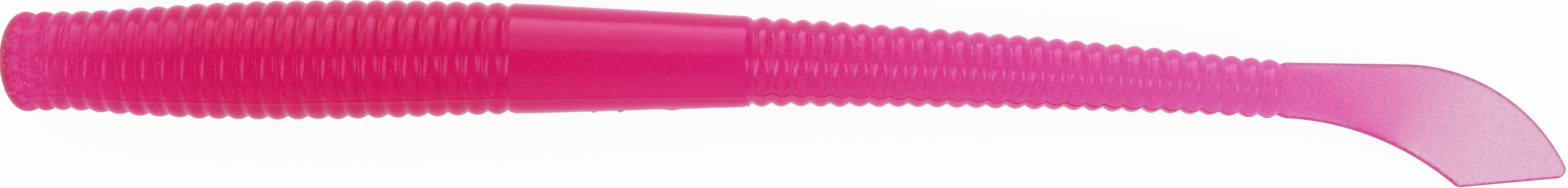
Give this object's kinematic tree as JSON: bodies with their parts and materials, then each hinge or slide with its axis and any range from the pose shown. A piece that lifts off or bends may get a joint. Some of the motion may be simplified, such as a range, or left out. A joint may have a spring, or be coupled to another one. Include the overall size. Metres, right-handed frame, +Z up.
{
  "type": "soft plastic worm",
  "caption": "Ringed soft plastic fishing worm with a blunt round nose, a smooth tapered collar and a flat tail cut off on a slant. Its body bends at its grooves and its tail lifts.",
  "frame": {"origin": "on the surface that the worm lies on, under the middle of its box", "axes": "+X from the nose to the tail, +Z up"},
  "size_m": [0.1266, 0.0152, 0.0096],
  "materials": {
    "front_plastic": "glossy translucent deep pink soft plastic with fine salt",
    "rear_plastic": "glossy translucent pink soft plastic",
    "tail_plastic": "thin pale pink translucent soft plastic"
  },
  "bodies": {
    "collar": {"collar": "front_plastic"},
    "head": {"head": "front_plastic"},
    "front_rings_1": {"front_rings_1": "front_plastic"},
    "front_rings_2": {"front_rings_2": "front_plastic"},
    "front_rings_3": {"front_rings_3": "front_plastic"},
    "front_rings_4": {"front_rings_4": "front_plastic"},
    "front_rings_5": {"front_rings_5": "front_plastic"},
    "front_rings_6": {"front_rings_6": "front_plastic"},
    "front_rings_7": {"front_rings_7": "front_plastic"},
    "front_rings_8": {"front_rings_8": "front_plastic"},
    "front_rings_9": {"front_rings_9": "front_plastic"},
    "front_rings_10": {"front_rings_10": "front_plastic"},
    "front_rings_11": {"front_rings_11": "front_plastic"},
    "rear_rings_1": {"rear_rings_1": "rear_plastic"},
    "rear_rings_2": {"rear_rings_2": "rear_plastic"},
    "rear_rings_3": {"rear_rings_3": "rear_plastic"},
    "rear_rings_4": {"rear_rings_4": "rear_plastic"},
    "rear_rings_5": {"rear_rings_5": "rear_plastic"},
    "rear_rings_6": {"rear_rings_6": "rear_plastic"},
    "rear_rings_7": {"rear_rings_7": "rear_plastic"},
    "rear_rings_8": {"rear_rings_8": "rear_plastic"},
    "rear_rings_9": {"rear_rings_9": "rear_plastic"},
    "rear_rings_10": {"rear_rings_10": "rear_plastic"},
    "rear_rings_11": {"rear_rings_11": "rear_plastic"},
    "rear_rings_12": {"rear_rings_12": "rear_plastic"},
    "rear_rings_13": {"rear_rings_13": "rear_plastic"},
    "tail_wrist": {"tail_wrist": "rear_plastic"},
    "tail_blade": {"tail_blade": "tail_plastic"}
  },
  "joints": [
    {"name": "front_bend", "type": "hinge", "parent": "collar", "child": "front_rings_11", "pos_m": [-0.02284, 0.00292, 0.00448], "axis": [0, 0, 1], "range_deg": [-5, 5], "stiffness_Nm_per_rad": 0.011},
    {"name": "front_bend_2", "type": "hinge", "parent": "front_rings_11", "child": "front_rings_10", "pos_m": [-0.02604, 0.00291, 0.00458], "axis": [0, 0, 1], "range_deg": [-5, 5], "stiffness_Nm_per_rad": 0.012},
    {"name": "front_bend_3", "type": "hinge", "parent": "front_rings_10", "child": "front_rings_9", "pos_m": [-0.02924, 0.00289, 0.00467], "axis": [0, 0, 1], "range_deg": [-5, 5], "stiffness_Nm_per_rad": 0.013},
    {"name": "front_bend_4", "type": "hinge", "parent": "front_rings_9", "child": "front_rings_8", "pos_m": [-0.03244, 0.00286, 0.00473], "axis": [0, 0, 1], "range_deg": [-5, 5], "stiffness_Nm_per_rad": 0.014},
    {"name": "front_bend_5", "type": "hinge", "parent": "front_rings_8", "child": "front_rings_7", "pos_m": [-0.03564, 0.00283, 0.00478], "axis": [0, 0, 1], "range_deg": [-5, 5], "stiffness_Nm_per_rad": 0.015},
    {"name": "front_bend_6", "type": "hinge", "parent": "front_rings_7", "child": "front_rings_6", "pos_m": [-0.03884, 0.00279, 0.0048], "axis": [0, 0, 1], "range_deg": [-5, 5], "stiffness_Nm_per_rad": 0.015},
    {"name": "front_bend_7", "type": "hinge", "parent": "front_rings_6", "child": "front_rings_5", "pos_m": [-0.04204, 0.00276, 0.00478], "axis": [0, 0, 1], "range_deg": [-5, 5], "stiffness_Nm_per_rad": 0.015},
    {"name": "front_bend_8", "type": "hinge", "parent": "front_rings_5", "child": "front_rings_4", "pos_m": [-0.04524, 0.00272, 0.0047], "axis": [0, 0, 1], "range_deg": [-5, 5], "stiffness_Nm_per_rad": 0.014},
    {"name": "front_bend_9", "type": "hinge", "parent": "front_rings_4", "child": "front_rings_3", "pos_m": [-0.04844, 0.00269, 0.00458], "axis": [0, 0, 1], "range_deg": [-5, 5], "stiffness_Nm_per_rad": 0.012},
    {"name": "front_bend_10", "type": "hinge", "parent": "front_rings_3", "child": "front_rings_2", "pos_m": [-0.05164, 0.00266, 0.00442], "axis": [0, 0, 1], "range_deg": [-5, 5], "stiffness_Nm_per_rad": 0.01},
    {"name": "front_bend_11", "type": "hinge", "parent": "front_rings_2", "child": "front_rings_1", "pos_m": [-0.05484, 0.00268, 0.00421], "axis": [0, 0, 1], "range_deg": [-5, 5], "stiffness_Nm_per_rad": 0.0085},
    {"name": "front_bend_12", "type": "hinge", "parent": "front_rings_1", "child": "head", "pos_m": [-0.05795, 0.00275, 0.00398], "axis": [0, 0, 1], "range_deg": [-5, 5], "stiffness_Nm_per_rad": 0.0067},
    {"name": "rear_bend", "type": "hinge", "parent": "collar", "child": "rear_rings_1", "pos_m": [-0.00319, 0.00267, 0.00367], "axis": [0, 0, 1], "range_deg": [-6.5, 6.5], "stiffness_Nm_per_rad": 0.0048},
    {"name": "rear_bend_2", "type": "hinge", "parent": "rear_rings_1", "child": "rear_rings_2", "pos_m": [-0.00004, 0.00258, 0.00357], "axis": [0, 0, 1], "range_deg": [-6.5, 6.5], "stiffness_Nm_per_rad": 0.0042},
    {"name": "rear_bend_3", "type": "hinge", "parent": "rear_rings_2", "child": "rear_rings_3", "pos_m": [0.00312, 0.00248, 0.00347], "axis": [0, 0, 1], "range_deg": [-6.5, 6.5], "stiffness_Nm_per_rad": 0.0037},
    {"name": "rear_bend_4", "type": "hinge", "parent": "rear_rings_3", "child": "rear_rings_4", "pos_m": [0.00628, 0.00237, 0.00338], "axis": [0, 0, 1], "range_deg": [-6.5, 6.5], "stiffness_Nm_per_rad": 0.0033},
    {"name": "rear_bend_5", "type": "hinge", "parent": "rear_rings_4", "child": "rear_rings_5", "pos_m": [0.00944, 0.00224, 0.00328], "axis": [0, 0, 1], "range_deg": [-6.5, 6.5], "stiffness_Nm_per_rad": 0.0029},
    {"name": "rear_bend_6", "type": "hinge", "parent": "rear_rings_5", "child": "rear_rings_6", "pos_m": [0.0126, 0.00211, 0.00318], "axis": [0, 0, 1], "range_deg": [-6.5, 6.5], "stiffness_Nm_per_rad": 0.0025},
    {"name": "rear_bend_7", "type": "hinge", "parent": "rear_rings_6", "child": "rear_rings_7", "pos_m": [0.01575, 0.00195, 0.00308], "axis": [0, 0, 1], "range_deg": [-6.5, 6.5], "stiffness_Nm_per_rad": 0.0022},
    {"name": "rear_bend_8", "type": "hinge", "parent": "rear_rings_7", "child": "rear_rings_8", "pos_m": [0.01891, 0.00179, 0.00299], "axis": [0, 0, 1], "range_deg": [-6.5, 6.5], "stiffness_Nm_per_rad": 0.0019},
    {"name": "rear_bend_9", "type": "hinge", "parent": "rear_rings_8", "child": "rear_rings_9", "pos_m": [0.02206, 0.00161, 0.00289], "axis": [0, 0, 1], "range_deg": [-6.5, 6.5], "stiffness_Nm_per_rad": 0.0016},
    {"name": "rear_bend_10", "type": "hinge", "parent": "rear_rings_9", "child": "rear_rings_10", "pos_m": [0.02522, 0.00143, 0.00279], "axis": [0, 0, 1], "range_deg": [-6.5, 6.5], "stiffness_Nm_per_rad": 0.0014},
    {"name": "rear_bend_11", "type": "hinge", "parent": "rear_rings_10", "child": "rear_rings_11", "pos_m": [0.02837, 0.00122, 0.00269], "axis": [0, 0, 1], "range_deg": [-6.5, 6.5], "stiffness_Nm_per_rad": 0.0012},
    {"name": "rear_bend_12", "type": "hinge", "parent": "rear_rings_11", "child": "rear_rings_12", "pos_m": [0.03152, 0.00101, 0.00259], "axis": [0, 0, 1], "range_deg": [-6.5, 6.5], "stiffness_Nm_per_rad": 0.001},
    {"name": "rear_bend_13", "type": "hinge", "parent": "rear_rings_12", "child": "rear_rings_13", "pos_m": [0.03467, 0.00078, 0.0025], "axis": [0, 0, 1], "range_deg": [-6.5, 6.5], "stiffness_Nm_per_rad": 0.00085},
    {"name": "rear_bend_14", "type": "hinge", "parent": "rear_rings_13", "child": "tail_wrist", "pos_m": [0.03783, 0.00054, 0.0024], "axis": [0, 0, 1], "range_deg": [-6.5, 6.5], "stiffness_Nm_per_rad": 0.00071},
    {"name": "tail_lift", "type": "hinge", "parent": "tail_wrist", "child": "tail_blade", "pos_m": [0.0444, 0.00041, 0.0014], "axis": [0, -1, 0], "range_deg": [0, 60], "stiffness_Nm_per_rad": 0.0001}
  ],
  "couplings": [
    {"joint": "front_bend_2", "follows": "front_bend", "ratio": 1},
    {"joint": "front_bend_3", "follows": "front_bend", "ratio": 1},
    {"joint": "front_bend_4", "follows": "front_bend", "ratio": 1},
    {"joint": "front_bend_5", "follows": "front_bend", "ratio": 1},
    {"joint": "front_bend_6", "follows": "front_bend", "ratio": 1},
    {"joint": "front_bend_7", "follows": "front_bend", "ratio": 1},
    {"joint": "front_bend_8", "follows": "front_bend", "ratio": 1},
    {"joint": "front_bend_9", "follows": "front_bend", "ratio": 1},
    {"joint": "front_bend_10", "follows": "front_bend", "ratio": 1},
    {"joint": "front_bend_11", "follows": "front_bend", "ratio": 1},
    {"joint": "front_bend_12", "follows": "front_bend", "ratio": 1},
    {"joint": "rear_bend_2", "follows": "rear_bend", "ratio": 1},
    {"joint": "rear_bend_3", "follows": "rear_bend", "ratio": 1},
    {"joint": "rear_bend_4", "follows": "rear_bend", "ratio": 1},
    {"joint": "rear_bend_5", "follows": "rear_bend", "ratio": 1},
    {"joint": "rear_bend_6", "follows": "rear_bend", "ratio": 1},
    {"joint": "rear_bend_7", "follows": "rear_bend", "ratio": 1},
    {"joint": "rear_bend_8", "follows": "rear_bend", "ratio": 1},
    {"joint": "rear_bend_9", "follows": "rear_bend", "ratio": 1},
    {"joint": "rear_bend_10", "follows": "rear_bend", "ratio": 1},
    {"joint": "rear_bend_11", "follows": "rear_bend", "ratio": 1},
    {"joint": "rear_bend_12", "follows": "rear_bend", "ratio": 1},
    {"joint": "rear_bend_13", "follows": "rear_bend", "ratio": 1},
    {"joint": "rear_bend_14", "follows": "rear_bend", "ratio": 1}
  ]
}
